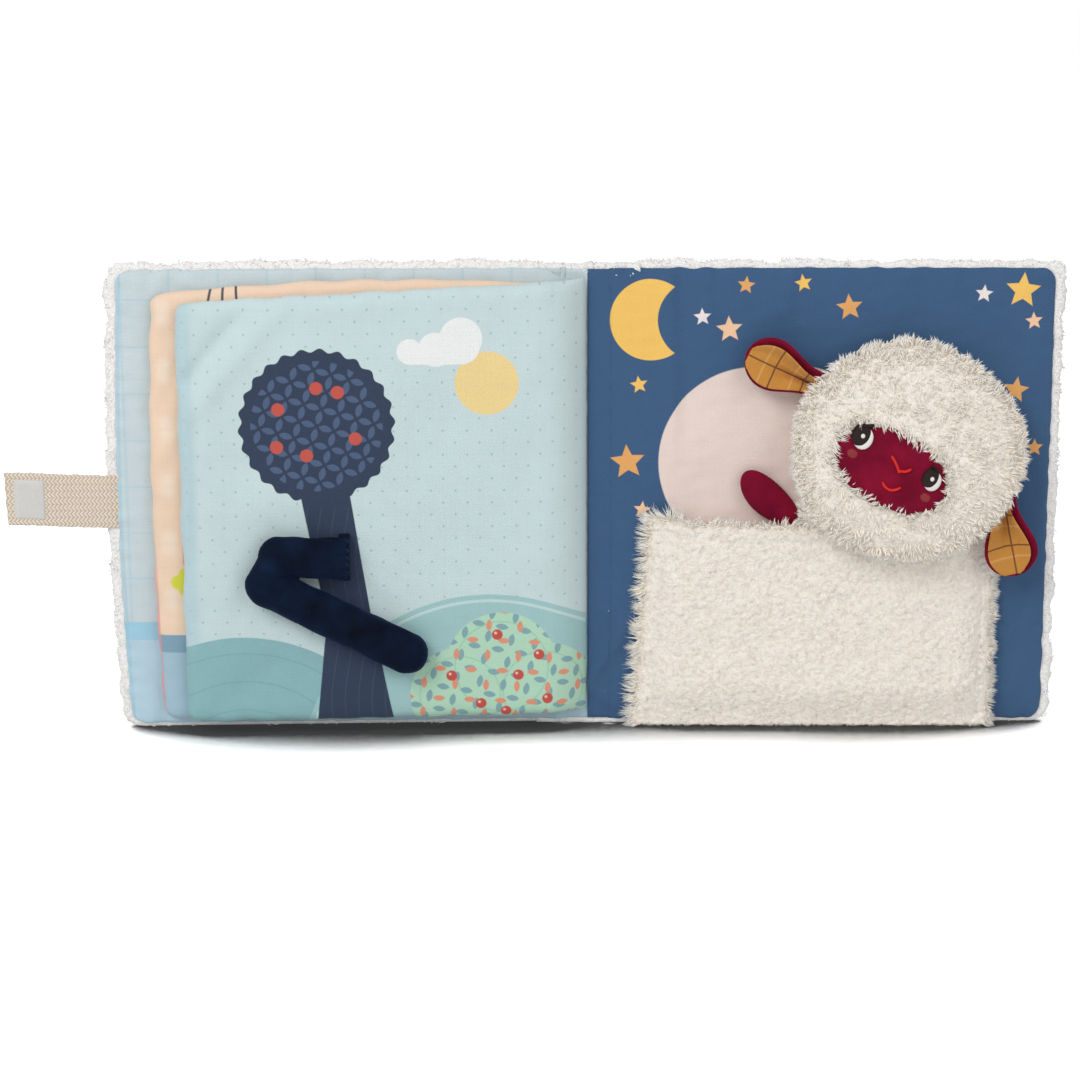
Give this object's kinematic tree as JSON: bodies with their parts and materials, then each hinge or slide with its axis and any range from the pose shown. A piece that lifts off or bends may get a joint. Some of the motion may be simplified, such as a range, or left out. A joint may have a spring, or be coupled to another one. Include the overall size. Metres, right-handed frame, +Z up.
{
  "type": "cloth activity book",
  "caption": "Soft padded cloth book standing open, with fleece covers, bound leaves, a sewn velvet arm and a fleece pocket that holds a small stuffed sheep doll.",
  "frame": {"origin": "on the floor, in the middle of the spine's lower edge", "axes": "+X to the right along the open book, +Y away from the reader, +Z up"},
  "size_m": [0.5047, 0.0543, 0.227],
  "materials": {
    "cover_fleece": "short curly fleece",
    "wadding": "soft polyester wadding",
    "blue_lining": "printed cotton weave",
    "blue_check": "printed cotton weave",
    "night_blue": "printed cotton weave",
    "yellow_print": "printed cotton weave",
    "orange_print": "printed cotton weave",
    "peach_print": "printed cotton weave",
    "white_print": "printed cotton weave",
    "pillow_pink": "printed cotton weave",
    "aqua_print": "printed cotton weave with fine dots",
    "navy_print": "printed cotton weave",
    "teal_print": "printed cotton weave",
    "mint_print": "printed cotton weave",
    "red_print": "printed cotton weave",
    "webbing": "herringbone cotton webbing",
    "fastening_tape": "hook and loop tape",
    "cream_fleece": "long curly fleece",
    "burgundy_velvet": "short pile velvet",
    "navy_velvet": "short pile velvet",
    "mustard_check": "cotton with a fine woven check",
    "eye_brown": "satin embroidery",
    "red_thread": "embroidery thread",
    "cheek_print": "printed on velvet"
  },
  "bodies": {
    "binding": {"spine_fleece": "cover_fleece", "spine_lining": "night_blue", "page_leaves": "aqua_print", "aqua_page": "aqua_print", "peach_page": "peach_print", "last_leaf_reverse": "aqua_print", "first_leaf_reverse": "peach_print", "peach_page_band": "blue_check", "page_tree": "navy_print", "page_hills": "teal_print", "page_bush": "mint_print", "page_sun": "yellow_print", "page_berries": "red_print", "page_cloud": "white_print", "velvet_arm": "navy_velvet", "arm_shoulder": "navy_velvet"},
    "front_cover": {"front_cover_fleece": "cover_fleece", "front_cover_wadding": "wadding", "front_cover_lining": "blue_lining", "front_lining_check": "blue_check", "front_lining_band": "blue_check", "closure_strap": "webbing", "strap_fastening_patch": "fastening_tape"},
    "back_cover": {"back_cover_fleece": "cover_fleece", "back_cover_wadding": "wadding", "night_lining": "night_blue", "moon_print": "yellow_print", "yellow_stars": "yellow_print", "orange_stars": "orange_print", "peach_stars": "peach_print", "white_stars": "white_print", "pillow_print": "pillow_pink", "cover_fastening_patch": "fastening_tape", "fleece_pocket": "cream_fleece", "doll_body": "cream_fleece", "doll_head": "cream_fleece", "doll_face": "burgundy_velvet", "doll_eyes": "eye_brown", "eye_glints": "white_print", "nose_stitches": "red_thread", "smile_stitches": "red_thread", "doll_cheeks": "cheek_print", "left_ear_back": "burgundy_velvet", "left_ear_lining": "mustard_check", "right_ear_back": "burgundy_velvet", "right_ear_lining": "mustard_check", "doll_hand": "burgundy_velvet"}
  },
  "joints": [
    {"name": "front_cover_hinge", "type": "hinge", "parent": "binding", "child": "front_cover", "pos_m": [-0.01, -0.003, 0], "axis": [0, 0, 1], "range_deg": [-80, 0]},
    {"name": "back_cover_hinge", "type": "hinge", "parent": "binding", "child": "back_cover", "pos_m": [0.01, -0.003, 0], "axis": [0, 0, -1], "range_deg": [-80, 120]}
  ]
}
